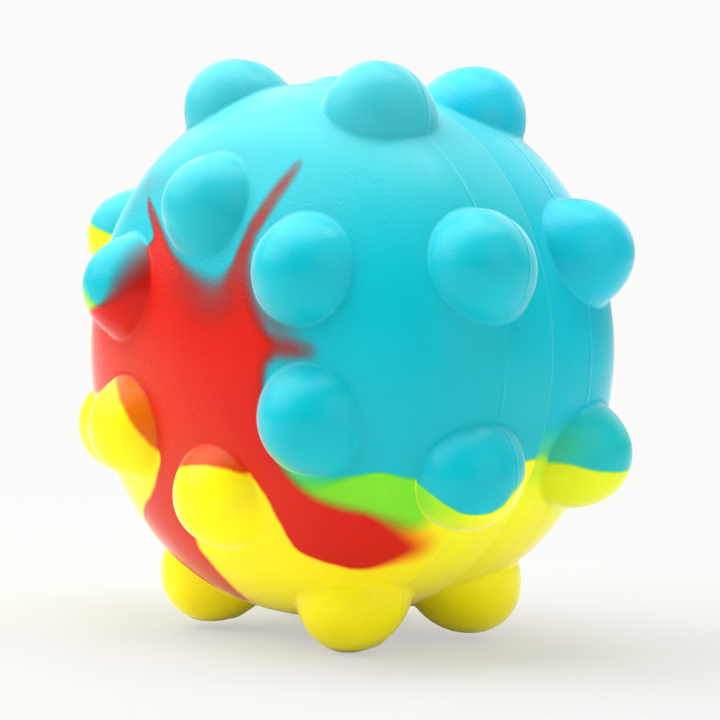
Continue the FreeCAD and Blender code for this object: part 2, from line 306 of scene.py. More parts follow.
# The shell between its bubbles: rings of points joined by triangles round the domes' outer rows, then the edge that
# turns in at the seam
def shellGrid(half, arcs, axes, distance, holes):
    step = halfShell["meshStep"]
    edge = halfShell["edgeRound"]
    endDirection = arcs[-1][4]
    lastHeight = edge * (1 + math.cos(endDirection))
    bandAcross, bandUp, bandRadius = arcs[-1][:3]
    lastDirection = math.acos((lastHeight - bandUp) / bandRadius)
    lastOut = bandAcross + bandRadius * math.sin(lastDirection)
    total = float(outlineLength(arcs, np.array(lastOut), np.array(lastHeight)))
    seamCount = round(2 * math.pi * lastOut / step)

    lengths, angles = [], []
    rowCount = round(total / (step * halfShell["rowSpacing"]))
    for row in range(1, rowCount):
        length = total * row / rowCount
        out = float(outlinePoint(arcs, length)[0])
        count = max(6, round(2 * math.pi * out / step))
        turn = (np.arange(count) + (row % 2) / 2) * 2 * math.pi / count
        lengths.append(np.full(count, length))
        angles.append(turn)
    lengths, angles = np.concatenate(lengths), np.concatenate(angles)
    out, height, _ = outlinePoint(arcs, lengths)
    own = np.stack((out * np.cos(angles), out * np.sin(angles), height), 1)
    points = own @ axes
    free = np.ones(len(points), bool)
    for place, ring in holes:
        local = (points - place["middle"]) @ place["axes"].T
        ringLocal = (ring - place["middle"]) @ place["axes"].T
        ringTurn = np.arctan2(ringLocal[:, 1], ringLocal[:, 0])
        order = np.argsort(ringTurn)
        reach = np.interp(
            np.arctan2(local[:, 1], local[:, 0]),
            ringTurn[order],
            np.hypot(ringLocal[:, 0], ringLocal[:, 1])[order],
            period=2 * math.pi,
        )
        beside = np.hypot(local[:, 0], local[:, 1]) > reach + step * halfShell["roomRoundDomes"]
        free &= beside | (np.abs(local[:, 2]) > halfShell["domeDepth"])

    turn = np.arange(seamCount) * 2 * math.pi / seamCount
    seam = np.stack((lastOut * np.cos(turn), lastOut * np.sin(turn), np.full(seamCount, lastHeight)), 1) @ axes
    poleDot = np.array((0, 0, halfShell["poleHeight"])) @ axes
    loops = [ring for _, ring in holes] + [seam]
    all3d = np.concatenate([*loops, poleDot[None], points[free]])
    edges, owner, begins = [], np.full(len(all3d), -1), 0
    for number, loop in enumerate(loops):
        count = len(loop)
        edges += [(begins + i, begins + (i + 1) % count) for i in range(count)]
        owner[begins : begins + count] = number
        begins += count

    own = all3d @ axes.T
    around = np.arctan2(own[:, 1], own[:, 0])
    along = outlineLength(arcs, np.hypot(own[:, 0], own[:, 1]), own[:, 2])
    flat = [Vector((a * math.cos(b), a * math.sin(b))) for a, b in zip(along, around)]
    wholeHull = 0
    made = delaunay_2d_cdt(flat, edges, [], wholeHull, halfShell["weldWithin"])
    source = [list(found)[0] for found in made[3]]
    seamNumber = len(loops) - 1
    faces = []
    for triangle in made[2]:
        corners = tuple(source[i] for i in triangle)
        owners = {owner[i] for i in corners}
        if len(owners) == 1 and owners != {-1} and owners != {seamNumber}:
            continue
        faces.append(corners)

    # The edge turns in round the seam and runs a little way under the other half
    turned = np.linspace(lastDirection, math.pi, halfShell["edgeRows"])[1:]
    middle = lastOut - edge * math.sin(lastDirection)
    strip = [(middle + edge * math.sin(t), edge * (1 + math.cos(t)), t) for t in turned]
    strip.append((middle - halfShell["rimInward"], 0.0, math.pi))
    base = begins - seamCount
    rows, normals = [], []
    for out, height, direction in strip:
        rows.append(np.stack((out * np.cos(turn), out * np.sin(turn), np.full(seamCount, height)), 1) @ axes)
        lean = (math.sin(direction) * np.cos(turn), math.sin(direction) * np.sin(turn))
        normals.append(np.stack((*lean, np.full(seamCount, math.cos(direction))), 1) @ axes)
        above, below = base, len(all3d) + (len(rows) - 1) * seamCount
        faces += [
            (above + i, below + i, below + (i + 1) % seamCount, above + (i + 1) % seamCount)
            for i in range(seamCount)
        ]
        base = below
    return all3d, faces, np.concatenate(rows), np.concatenate(normals)


# Cuts extra rows into a mesh beside the parting line, so that its ridge is real; sags say how far the line hangs
def cutRows(points, faces, axes, lineHeight, sags, keep):
    made = bmesh.new()
    mark = made.verts.layers.int.new("kept")
    sagging = made.verts.layers.float.new("sag")
    pole = axes[2]
    verts = [made.verts.new(point) for point in points + sags[:, None] * pole]
    for number, vert in enumerate(verts):
        vert[mark] = number + 1 if number >= keep else 0
        vert[sagging] = sags[number]
    for face in faces:
        made.faces.new([verts[i] for i in face])
    for cut in partingLine["cuts"]:
        at = Vector(pole * (lineHeight + cut))
        geometry = list(made.verts) + list(made.edges) + list(made.faces)
        bmesh.ops.bisect_plane(made, geom=geometry, dist=1e-5, plane_co=at, plane_no=Vector(pole))
    made.verts.index_update()
    points = np.array([vert.co[:] for vert in made.verts])
    points -= np.array([vert[sagging] for vert in made.verts])[:, None] * pole
    kept = np.array([vert[mark] for vert in made.verts])
    faces = [tuple(vert.index for vert in face.verts) for face in made.faces]
    made.free()
    return points, faces, kept


def makePiece(name, points, faces, normals):
    mesh = bpy.data.meshes.new(name)
    mesh.from_pydata(((points + ballMiddle) * mm).tolist(), [], faces)
    mesh.polygons.foreach_set("use_smooth", [True] * len(mesh.polygons))
    mesh.normals_split_custom_set_from_vertices(normals.tolist())
    piece = bpy.data.objects.new(name, mesh)
    bpy.context.scene.collection.objects.link(piece)
    return piece


pieces = {}
places = bubblePlaces()
for half in ("front", "back"):
    ownPlaces = [place for place in places if place["half"] == half]
    plain, arcs, axes, lineHeight, sag = skinOf(half, ownPlaces, withLine=False)
    lined = skinOf(half, ownPlaces)[0]
    holes = []
    for place in ownPlaces:
        nearby = [
            other
            for other in ownPlaces
            if np.linalg.norm(other["middle"] - place["middle"]) < bubble["neighbourReach"]
        ]
        near = skinOf(half, nearby, withLine=False)[0]
        points, faces = domeGrid(place, near, arcs, axes)
        holes.append((place, points[-bubble["spokes"] :].copy()))
        if place["ring"] == "rim":
            points, faces, _ = cutRows(points, faces, axes, lineHeight, sag(points), len(points))
        nearLined = skinOf(half, nearby)[0]
        points = settle(nearLined, points, partingLine["settlePasses"])
        normals = slope(nearLined, points)
        pieces[place["name"]] = (makePiece(place["name"] + "_dome", points, faces, normals), points, half, place)
    points, faces, edgePoints, edgeNormals = shellGrid(half, arcs, axes, plain, holes)
    outer = len(points)
    points = np.concatenate((points, edgePoints))
    points, faces, kept = cutRows(points, faces, axes, lineHeight, sag(points), outer)
    onEdge = kept > 0
    points[~onEdge] = settle(lined, points[~onEdge], partingLine["settlePasses"])
    normals = slope(lined, points)
    normals[onEdge] = edgeNormals[kept[onEdge] - 1 - outer]
    shellName = f"{half}_half_shell"
    pieces[shellName] = (makePiece(shellName + "_skin", points, faces, normals), points, half, None)
    print("made the", half, "half:", len(faces), "faces on its shell")


# Where colours end, as seen square on to the ball from the front: millimetres across and up, and how softly they end
# "tide" is where turquoise meets yellow, right to left; the other outlines are closed; a mist is a soft round spot
# of a colour, with its radius and its strength
swirls = {
    "front": {
        "tide": [
            (38, -12.4, 0.5), (30, -12.4, 0.6), (26, -13.2, 0.5), (23.5, -12.6, 0.3), (19.5, -13.6, 0.6),
            (16.5, -14.3, 1.6), (13, -14.2, 2.0), (8, -11, 1.5), (0, -2, 1.5), (-8, 5, 1.5), (-18, 8.5, 0.6),
            (-28, 14.2, 0.4), (-38, 16, 0.4),
        ],
        "red": {
            "left tendril": [(-14.9, 18.5, 0.35), (-12.6, 17.1, 0.4), (-10.0, 14.9, 0.6), (-7.3, 12.3, 0.8)],
            "tongue": [
                (-5.2, 10.7, 1.0), (-3.0, 9.4, 1.4), (0.2, 8.1, 1.8), (2.8, 8.0, 1.8), (4.1, 9.5, 1.0),
                (5.0, 11.7, 0.5),
            ],
            "right tendril": [
                (6.0, 14.9, 0.6), (7.5, 17.9, 0.7), (9.2, 20.7, 0.8), (10.5, 22.4, 0.8), (10.4, 20.7, 0.8),
                (9.1, 17.5, 0.7), (7.6, 14.3, 0.5),
            ],
            "by bubble 2": [(6.9, 11.6, 0.7), (7.3, 8.6, 1.7), (8.3, 6.0, 1.6), (9.4, 3.9, 1.5)],
            "side tendril": [(10.4, 2.5, 1.0), (11.6, 1.6, 1.2), (11.5, 0.4, 1.3), (10.4, -1.2, 1.2)],
            "by bubble 3": [(10.2, -3.4, 1.0), (10.3, -6.5, 0.6), (10.8, -10.0, 0.4), (12.4, -13.2, 0.7)],
            "tail, upper side": [(15.2, -15.6, 0.9), (18.5, -16.8, 1.0), (21.6, -17.6, 1.0), (23.6, -19.3, 2.2)],
            "tail, lower side": [(24.0, -20.8, 2.8), (22.8, -22.4, 2.4), (20, -23.9, 1.1), (17.3, -24.7, 0.5)],
            "tail, near end": [(14.6, -24.1, 0.35), (11.9, -22.9, 0.3), (11.0, -21.3, 0.3), (10.3, -19.1, 0.3)],
            "beside bubble 4": [(9.45, -16.9, 0.3), (8.6, -15.4, 0.3), (7.7, -14.3, 0.3), (6.8, -13.9, 0.3)],
            "under bubble 4": [(3, -16.5, 0.3), (-2, -20, 0.3), (-4.1, -23.4, 0.5)],
            "strip": [(-2.9, -26, 0.5), (-1.9, -29, 0.7), (-2.6, -31, 0.9), (-8, -29.6, 1), (-15, -25.5, 0.8)],
            "by bubble 5": [
                (-16.3, -22.5, 0.5), (-15, -20.5, 0.4), (-11.1, -17.9, 0.35), (-9, -15.4, 0.3),
                (-7.8, -12.8, 0.3),
            ],
            "under bubble 5": [(-10.5, -9.5, 0.4), (-15, -7, 0.4), (-21, -6.4, 0.5)],
            "left side": [(-27, -7, 0.8), (-31, -4, 1), (-31, 1, 1), (-27, 4.5, 0.8), (-21, 5.4, 0.7)],
            "under bubble 6": [(-15, 6.8, 0.8), (-13.2, 9.5, 0.5), (-11.4, 12.0, 0.4)],
            "left tendril again": [(-10.4, 13.2, 0.4), (-11.9, 15.0, 0.4), (-14.0, 17.4, 0.35)],
        },
        "green": {
            "upper side": [(9, -9, 1.2), (17, -10, 1.2), (24, -9, 0.6), (27, -12, 0.6), (27.6, -15.0, 1.0)],
            "lower side": [
                (26.2, -17.4, 1.6), (24.2, -19.4, 1.6), (21, -19.5, 1.2), (16, -17.5, 1), (11.5, -15, 0.8),
            ],
        },
        "yellowMist": [(12.4, -13.0, 2.0, 0.30), (15.5, -13.2, 2.0, 0.35)],
        "redMist": [
            (10.6, 4.8, 2.4, 0.20), (12.2, 2.4, 2.6, 0.22), (12.4, 1.0, 1.0, 0.40), (13.5, 1.0, 1.0, 0.42),
            (14.6, 0.9, 0.9, 0.38), (15.6, 0.9, 0.9, 0.32), (16.5, 0.8, 0.8, 0.20), (-15.6, 19.6, 1.0, 0.15),
            (-13.2, 19.4, 2.2, 0.08), (-17, 17.5, 2.2, 0.06),
        ],
        "limeMist": [(29, -20, 7, 0.12)],
        "thinMist": [
            (-3.4, 8.0, 2.4, 0.18), (0.2, 6.4, 2.8, 0.28), (3.4, 6.6, 2.8, 0.32), (5.4, 10.2, 2.2, 0.35),
            (6.9, 14.0, 2.4, 0.40), (8.4, 17.6, 2.6, 0.45), (10.2, 21.2, 2.2, 0.45), (-14, 18.0, 2.6, 0.35),
            (-11.6, 15.4, 2.2, 0.25), (-13.5, -8.5, 9, 0.03), (1.8, -17.5, 8, 0.03),
        ],
    },
    "back": {
        "tide": [
            (38, -12.8, 0.3), (33, -12.4, 0.4), (30.5, -11.2, 1.5), (27, -8.5, 1.5), (22, -3, 1.2),
            (13, 0.5, 0.4), (4, -3, 1.5), (-4, -6, 1.5), (-13, -1, 1.5), (-20, 8, 0.5), (-27, 14, 0.4),
            (-38, 16, 0.4),
        ],
        "red": {
            "upper tendril": [(3.2, 15, 0.6), (4.2, 10, 0.6), (3.4, 5.5, 1.0)],
            "right side": [(5.5, 1.6, 1.6), (9.5, -0.8, 1.0), (15, -0.4, 0.6), (10.6, -4, 0.9), (8.6, -9, 0.5)],
            "tail": [(10.4, -14.4, 0.4), (14.4, -18, 0.5), (19.4, -20.4, 1.5), (14.6, -22.4, 0.9), (7, -21.4, 0.4)],
            "lower side": [
                (0.6, -17.8, 0.3), (-6, -17.4, 0.3), (-12, -20.6, 0.4), (-17.8, -24.6, 1.2), (-16.2, -18, 0.6),
            ],
            "left tendril": [
                (-13.4, -11, 0.4), (-14.6, -4.4, 0.8), (-19.6, 1.6, 0.8), (-25.4, 8.6, 0.6), (-18.4, 5.8, 0.9),
            ],
            "tongue": [(-11.5, 2.8, 1.6), (-5, 3.2, 2.0), (-0.8, 7, 1.0), (1.4, 11, 0.5)],
        },
        "green": {
            "upper side": [(30, -9, 1.2), (24, -2, 1.2), (16.6, 2, 0.5)],
            "lower side": [(14.4, -3.6, 1.4), (17.4, -9.4, 1.8), (23, -13, 2.0), (28.4, -12.6, 1.6)],
        },
        "yellowMist": [(31, -10.2, 2.0, 0.25)],
        "limeMist": [(30, -18, 9, 0.15), (30, -12.7, 2.6, 0.5)],
    },
}

# Bubbles that keep a colour of their own: the ground they are moulded in, and colours to the left of a line over them
bubbleCoats = {
    "front_pole_bubble_1": {"ground": "turquoise"},
    "front_pole_bubble_2": {"ground": "turquoise"},
    "front_pole_bubble_3": {
        "ground": "turquoise",
        "yellowMist": [(13.4, -13.4, 1.7, 0.70), (11.4, -11.2, 1.0, 0.3)],
        "limeMist": [(13, -12, 5, 0.85)],
    },
    "front_pole_bubble_4": {
        "ground": "yellow",
        "red": [
            (-5.5, -14.4, 0.25), (-1.7, -13.8, 0.25), (1.5, -13.3, 0.25), (3.7, -13.2, 0.25),
            (5.3, -13.4, 0.25), (6.8, -13.9, 0.25), (7.7, -14.3, 0.25), (8.6, -15.4, 0.3), (9.45, -16.9, 0.3),
            (10.3, -19.1, 0.3),
        ],
        "redStrength": 0.93,
    },
    "front_pole_bubble_5": {
        "ground": "yellow",
        "red": [
            (-17, -2.6, 0.3), (-15.6, -4.0, 0.3), (-13.4, -5.2, 0.3), (-11.2, -7.3, 0.3), (-9.7, -9.4, 0.3),
            (-8.5, -11.5, 0.3), (-7.4, -14, 0.4),
        ],
        "redStrength": 0.83,
    },
    "front_pole_bubble_6": {
        "ground": "turquoise",
        "red": [
            (-8.2, 14.6, 4.0), (-10.2, 12.0, 4.0), (-10.7, 9.8, 3.6), (-11.5, 8.0, 2.8), (-12.8, 6.1, 1.6),
            (-14.6, 4.9, 0.6), (-16.2, 4.5, 0.4), (-20, 3.6, 0.4),
        ],
        "tide": [(-13.5, 2.6, 0.9), (-16.6, 5.3, 0.9), (-19.8, 7.1, 0.9), (-24, 9.4, 0.9)],
        "limeMist": [(-18, 5.5, 3.5, 0.9)],
    },
    "front_rim_bubble_3": {
        "onItsOwn": True,
        "tide": [
            (9, 3.6, 0.7), (6.6, 2.2, 0.7), (5.8, 1.7, 0.6), (5.1, 0.9, 0.5), (4.3, -0.6, 0.4),
            (2.5, -1.8, 0.25), (0.1, -2.2, 0.2), (-2.3, -1.9, 0.2), (-4.0, -1.6, 0.2), (-5.4, -1.5, 0.2),
            (-9, -1.6, 0.2),
        ],
        "limeMist": [(-6, -2.5, 7.0, 1.0)],
    },
    "front_rim_bubble_7": {"tide": [(-20, 11.3, 0.3), (-40, 17.3, 0.3)], "limeMist": [(-31, 13, 6, 0.4)]},
    "back_rim_bubble_1": {"deep": 1.0},
    "back_rim_bubble_2": {"deep": 0.6},
    "back_rim_bubble_3": {
        "tide": [(40, -13.4, 0.3), (35.3, -12.8, 0.3), (32.6, -11.8, 0.35), (30, -11.9, 0.5)],
        "yellowMist": [(31.8, -9.8, 3.0, 0.22)],
        "limeMist": [(33, -14, 9, 0.32)],
    },
    "back_pole_bubble_2": {"ground": "turquoise", "deep": 0.6},
    "back_pole_bubble_3": {"ground": "yellow", "limeMist": [(18, -8, 12, 0.3)]},
    "back_pole_bubble_5": {
        "ground": "yellow",
        "red": [(-3, -8, 0.3), (-8, -12.5, 0.3), (-16, -14, 0.3)],
        "redStrength": 0.9,
    },
    "back_rim_bubble_7": {"tide": [(-20, 14.6, 0.3), (-40, 15.4, 0.3)]},
}

# How far colour edges are followed, how finely their curves are made, and where a bubble's own coat takes over from
# the swirls, in millimetres above the shell
colourEdges = {
    "farthest": 9.0,
    "perSpan": 8,
    "lengthSteps": 200,
    "crownUp": 5.0,
    "coatFrom": 0.05,
    "coatOver": 0.35,
    "plainFade": 0.3,
    "backDeep": 0.35,
}


# Outline points seen from the front, laid out flat: as far from the pole as they are along the skin
def laidOut(given, half):
    arcs = outlineArcs(half)
    given = np.array(given, float)
    lengths = np.linspace(0, outlinePoint(arcs, 0)[2], colourEdges["lengthSteps"])
    reach = outlinePoint(arcs, lengths)[0]
    out = np.hypot(given[:, 0], given[:, 1])
    along = np.interp(out, reach, lengths) + np.maximum(out - reach[-1], 0)
    given[:, :2] *= (along / np.maximum(out, 1e-6))[:, None]
    return given


# Points along a smooth curve through the given ones
def smoothCurve(given, closed):
    given = np.array(given, float)
    count = len(given)
    if not closed:
        given = np.concatenate((2 * given[:1] - given[1:2], given, 2 * given[-1:] - given[-2:-1]))
        given[0, 2], given[-1, 2] = given[1, 2], given[-2, 2]
    spans = count if closed else count - 1
    share = np.arange(colourEdges["perSpan"])[:, None] / colourEdges["perSpan"]
    curve = []
    for span in range(spans):
        picked = [(span - 1 + i) % count for i in range(4)] if closed else [span + i for i in range(4)]
        a, b, c, d = (given[i] for i in picked)
        bend = (2 * a - 5 * b + 4 * c - d) * share**2 + (3 * b - a - 3 * c + d) * share**3
        curve.append(b + ((c - a) * share + bend) / 2)
    if not closed:
        curve.append(given[-2:-1])
    return np.concatenate(curve)


# Distance inside a colour's edge, and how softly it ends there: a closed curve's inside, or the left of an open one
def edgeField(at, curve, closed):
    ends = np.roll(curve, -1, axis=0) if closed else curve[1:]
    starts = curve if closed else curve[:-1]
    # An open curve runs on straight past both of its ends
    runsOn = 1e3
    best, fade, side = np.full(len(at), 1e9), np.ones(len(at)), np.zeros(len(at))
    crossings = np.zeros(len(at), int)
    for number, (a, b) in enumerate(zip(starts, ends)):
        run = b[:2] - a[:2]
        to = at - a[:2]
        low = -runsOn if not closed and number == 0 else 0.0
        high = runsOn if not closed and number == len(starts) - 1 else 1.0
        share = np.clip((to @ run) / max(run @ run, 1e-9), low, high)
        away = np.hypot(*(to - share[:, None] * run).T)
        nearer = away < best
        best = np.where(nearer, away, best)
        fade = np.where(nearer, a[2] + (b[2] - a[2]) * np.clip(share, 0, 1), fade)
        side = np.where(nearer, run[0] * to[:, 1] - run[1] * to[:, 0], side)
        spans = (a[1] > at[:, 1]) != (b[1] > at[:, 1])
        meets = a[0] + (at[:, 1] - a[1]) * (b[0] - a[0]) / (b[1] - a[1] + 1e-12)
        crossings += spans & (at[:, 0] < meets)
    inside = crossings % 2 == 1 if closed else side > 0
    return np.clip(np.where(inside, best, -best), -colourEdges["farthest"], colourEdges["farthest"]), fade


def mistField(seen, spots):
    clear = np.ones(len(seen))
    for across, up, radius, strength in spots:
        clear *= 1 - strength * np.exp(-((seen - (across, up)) ** 2).sum(axis=1) / radius**2)
    return 1 - clear


def wholeOutline(stretches):
    return [point for stretch in stretches.values() for point in stretch]


# The fields that colour a piece: how far each point lies inside a colour, how softly it ends there, and the mists
def colourFields(points, half, place, shellAway):
    arcs, axes, own = outlineArcs(half), halfAxes(half), swirls[half]
    inHalf = points @ axes.T
    out = np.hypot(inHalf[:, 0], inHalf[:, 1])
    seen = points[:, [0, 2]]
    flat = seen * (outlineLength(arcs, out, inHalf[:, 2]) / np.maximum(out, 1e-6))[:, None]
    tide = smoothCurve(laidOut(own["tide"], half), False)
    fields = {
        "yellow": edgeField(flat, tide, False),
        "red": edgeField(flat, smoothCurve(laidOut(wholeOutline(own["red"]), half), True), True),
        "green": edgeField(flat, smoothCurve(laidOut(wholeOutline(own["green"]), half), True), True),
    }
    mists = {name: mistField(seen, own.get(name + "Mist", ())) for name in ("yellow", "red", "lime", "thin")}
    deep = np.full(len(points), colourEdges["backDeep"] if half == "back" else 0.0)
    if place is not None:
        coat = bubbleCoats.get(place["name"], {})
        crown = (place["middle"] + place["axes"][2] * colourEdges["crownUp"])[None, [0, 2]]
        onTide = edgeField(crown, smoothCurve(own["tide"], False), False)[0][0] > 0
        ground = coat.get("ground", "yellow" if onTide else "turquoise")
        if coat.get("onItsOwn"):
            seen = ((points - place["middle"]) @ place["axes"].T)[:, :2]
        none = (np.full(len(points), -colourEdges["farthest"]), np.full(len(points), colourEdges["plainFade"]))
        dome = {"yellow": (none[0] * (-1 if ground == "yellow" else 1), none[1]), "red": none, "green": none}
        if "tide" in coat:
            dome["yellow"] = edgeField(seen, smoothCurve(coat["tide"], False), False)
        if "red" in coat:
            dome["red"] = edgeField(seen, smoothCurve(coat["red"], False), False)
        up = np.clip((shellAway - colourEdges["coatFrom"]) / colourEdges["coatOver"], 0, 1)
        up = up * up * (3 - 2 * up)
        for colour, (away, fade) in fields.items():
            fields[colour] = (away + (dome[colour][0] - away) * up, fade + (dome[colour][1] - fade) * up)
        for name, mist in mists.items():
            mists[name] = mist + (mistField(seen, coat.get(name + "Mist", ())) - mist) * up
        mists["thin"] += (1 - coat.get("redStrength", 1.0)) * up
        deep += (coat.get("deep", 0.0) - deep) * up
    return fields, {**mists, "deep": deep}


# A shader socket that takes part in expressions; each operator adds its Math node, and add() makes any other node
class Wire:
    def __init__(self, tree, socket=None):
        self.tree = tree
        self.socket = socket

    def add(self, kind, settings=(), inputs=(), output=0):
        node = self.tree.nodes.new(kind)
        for name, value in dict(settings).items():
            setattr(node, name, value)
        for name, value in dict(inputs).items():
            if isinstance(value, Wire):
                self.tree.links.new(value.socket, node.inputs[name])
            else:
                node.inputs[name].default_value = value
        return Wire(self.tree, node.outputs[output])

    def maths(self, operation, *values):
        return self.add("ShaderNodeMath", {"operation": operation}, dict(enumerate((self, *values))))

    def __add__(self, other):
        return self.maths("ADD", other)

    __radd__ = __add__

    def __sub__(self, other):
        return self.maths("SUBTRACT", other)

    def __rsub__(self, other):
        return self.maths("MULTIPLY", -1.0).maths("ADD", other)

    def __mul__(self, other):
        return self.maths("MULTIPLY", other)

    __rmul__ = __mul__

    def __truediv__(self, other):
        return self.maths("DIVIDE", other)

    def __pow__(self, power):
        return self.maths("POWER", power)

    def held(self, low=0.0, high=1.0):
        return self.add("ShaderNodeClamp", {}, {"Value": self, "Min": low, "Max": high})

    def eased(self):
        held = self.held()
        return held * held * (3 - 2 * held)

    def scaled(self, factor):
        return self.add("ShaderNodeVectorMath", {"operation": "SCALE"}, {0: self, "Scale": factor})

    def noise(self, scale, detail=2.0, output="Fac"):
        settings = {"Vector": self, "Scale": scale, "Detail": detail}
        return self.add("ShaderNodeTexNoise", {}, settings, output)


def mixColours(first, second, share):
    inputs = {0: share, 6: first, 7: second}
    source = next(wire for wire in (share, first, second) if isinstance(wire, Wire))
    return source.add("ShaderNodeMix", {"data_type": "RGBA"}, inputs, 2)


def newMaterial(name):
    material = bpy.data.materials.new(name)
    material.use_nodes = True
    return material, Wire(material.node_tree), material.node_tree.nodes["Principled BSDF"]


# The colours of the silicone and how its surface takes the light; lengths in millimetres
# Each wander is how far a colour's edge strays and the noise that it strays by; "shows" are the powers that say how
# late or early red and yellow show as they take over
silicone = {
    "turquoise": (0.002, 0.425, 0.50),
    "deepTurquoise": (0.001, 0.46, 0.62),
    # Painted highlight: the turquoise turns paler towards the top of the ball, a painted sheen standing in for the
    # whiter light that the lamps above put there; these entries give that paler colour and the heights in millimetres
    # over which it comes in
    "paintedTopSheenTurquoise": (0.045, 0.45, 0.50),
    "paintedSheenFrom": 8.0,
    "paintedSheenOver": 26.0,
    "yellow": (0.91, 0.81, 0.006),
    "green": (0.19, 0.68, 0.020),
    "red": (0.58, 0.007, 0.0005),
    "roughness": 0.34,
    "gloss": 0.15,
    "sheen": 0.62,
    "sheenRoughness": 0.27,
    "wander": (0.25, 0.45),
    "fineWander": (0.12, 2.2),
    "seeds": {"yellow": 3.0, "green": 11.0, "red": 23.0},
    "cloud": (0.35, 3.0),
    "patches": (0.75, 1.0),
    "cloudTint": 0.08,
    "haze": 0.13,
    "hazeReach": 4.0,
    "hazeFalls": 2.0,
    "overTurquoise": 3.0,
    "redShows": (1.4, 1.2),
    "yellowShows": (1.8, 2.0),
    "roughnessSpread": 0.12,
    "grainSize": 0.38,
    "grainDepth": 0.042,
    "pebbleSize": 1.3,
    "pebbleDepth": 0.02,
}


# Colours that a shader mixes channel by channel, each with its own share
def mixChannels(first, second, shares):
    channels = first.add("ShaderNodeCombineXYZ", {}, dict(zip("XYZ", shares)))
    step = first.add("ShaderNodeVectorMath", {"operation": "SUBTRACT"}, {0: second, 1: first})
    return first.add("ShaderNodeVectorMath", {"operation": "MULTIPLY_ADD"}, {0: channels, 1: step, 2: first})


def siliconeMaterial():
    material, start, shader = newMaterial("silicone_tie_dye")

    def read(name, output="Fac"):
        return start.add("ShaderNodeAttribute", {"attribute_name": name}, {}, output)

    at = read("moulded_place", "Vector")

    # Each edge wanders a little where the colours ran, ends as softly as its fade says, and has mist beyond it
    def share(colour):
        seed = silicone["seeds"][colour]
        drift = at.add("ShaderNodeVectorMath", {"operation": "ADD"}, {0: at, 1: (seed, 0, -seed)})
        (broad, broadScale), (fine, fineScale) = silicone["wander"], silicone["fineWander"]
        wander = (drift.noise(broadScale) - 0.5) * broad + (drift.noise(fineScale) - 0.5) * fine
        inside = read(colour + "_inside") + wander
        return (inside / (read(colour + "_fade") * 2) + 0.5).eased()

    cloud = at.noise(*silicone["cloud"]) - 0.5
    yellow = 1 - (1 - share("yellow")) * (1 - read("yellow_mist"))
    green = 1 - (1 - share("green")) * (1 - read("lime_mist"))
    red = 1 - (1 - share("red")) * (1 - read("red_mist"))
    solid, mottled = silicone["patches"]
    patches = read("deep_mist") * (solid + mottled * cloud)
    # Painted highlight: the turquoise is mixed towards a paler turquoise with height above the middle of the ball, a
    # painted sheen on the top where the lamps above light it most
    upAxis = start.add("ShaderNodeSeparateXYZ", {}, {0: at}, "Z")
    paintedTopSheen = ((upAxis - silicone["paintedSheenFrom"]) / silicone["paintedSheenOver"]).eased()
    turquoise = mixColours((*silicone["turquoise"], 1), (*silicone["paintedTopSheenTurquoise"], 1), paintedTopSheen)
    turquoise = mixColours(turquoise, (*silicone["deepTurquoise"], 1), patches.held())
    lemon = mixColours((*silicone["yellow"], 1), (*silicone["green"], 1), green)
    late, early = silicone["yellowShows"]
    ground = mixChannels(turquoise, lemon, (yellow**late, yellow, 1 - (1 - yellow) ** early))

    # Red goes over yellow by way of orange, with a haze beyond its edge; over turquoise it darkens first, to plum
    reach = silicone["hazeReach"]
    haze = ((read("red_inside") + reach) / reach).held() ** silicone["hazeFalls"] * silicone["haze"] * yellow
    red = (1 - (1 - red) * (1 - haze)) * (1 - read("thin_mist"))
    overTurquoise = 1 - (1 - red) ** silicone["overTurquoise"]
    darkens = overTurquoise + (red - overTurquoise) * yellow
    shows, later = silicone["redShows"]
    colour = mixChannels(ground, silicone["red"], (red ** (shows + later * yellow), darkens, darkens))
    colour = colour.scaled(1 + silicone["cloudTint"] * cloud)

    grain = at.noise(1 / silicone["grainSize"], 1.0)
    pebbles = at.noise(1 / silicone["pebbleSize"], 2.0)
    height = grain * silicone["grainDepth"] + pebbles * silicone["pebbleDepth"]
    bump = start.add("ShaderNodeBump", {}, {"Height": height, "Distance": mm, "Strength": 1.0}, "Normal")
    shader.inputs["Specular IOR Level"].default_value = silicone["gloss"]
    shader.inputs["Sheen Weight"].default_value = silicone["sheen"]
    shader.inputs["Sheen Roughness"].default_value = silicone["sheenRoughness"]
    links = material.node_tree.links
    links.new(colour.socket, shader.inputs["Base Color"])
    roughness = silicone["roughness"] + silicone["roughnessSpread"] * (pebbles - 0.5)
    links.new(roughness.socket, shader.inputs["Roughness"])
    links.new(bump.socket, shader.inputs["Normal"])
    return material


def storeFields(piece, points, fields, levels):
    mesh = piece.data
    mesh.attributes.new("moulded_place", "FLOAT_VECTOR", "POINT").data.foreach_set("vector", points.ravel())
    layers = {name + "_mist": level for name, level in levels.items()}
    for colour, (away, fade) in fields.items():
        layers[colour + "_inside"] = away
        layers[colour + "_fade"] = fade
    for name, values in layers.items():
        mesh.attributes.new(name, "FLOAT", "POINT").data.foreach_set("value", values)


tieDye = siliconeMaterial()
for name, (piece, points, half, place) in pieces.items():
    axes = halfAxes(half)
    own = points @ axes.T
    shellAway = outlineDistance(outlineArcs(half), np.hypot(own[:, 0], own[:, 1]), own[:, 2])
    storeFields(piece, points, *colourFields(points, half, place, shellAway))
    piece.data.materials.append(tieDye)
    if place is None:
        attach(piece, "shell")
    else:
        onDome = (shellAway > bubble["givesWay"][0]) & (shellAway < bubble["givesWay"][1])
        upAxis = (points - place["middle"]) @ place["axes"][2]
        low = place["middle"] + place["axes"][2] * upAxis[onDome].max()
        high = place["middle"] + place["axes"][2] * bubble["height"]
        (low + ballMiddle) * mm
        (high + ballMiddle) * mm
        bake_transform(piece)
    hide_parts(name)
print("coloured", len(pieces), "pieces")

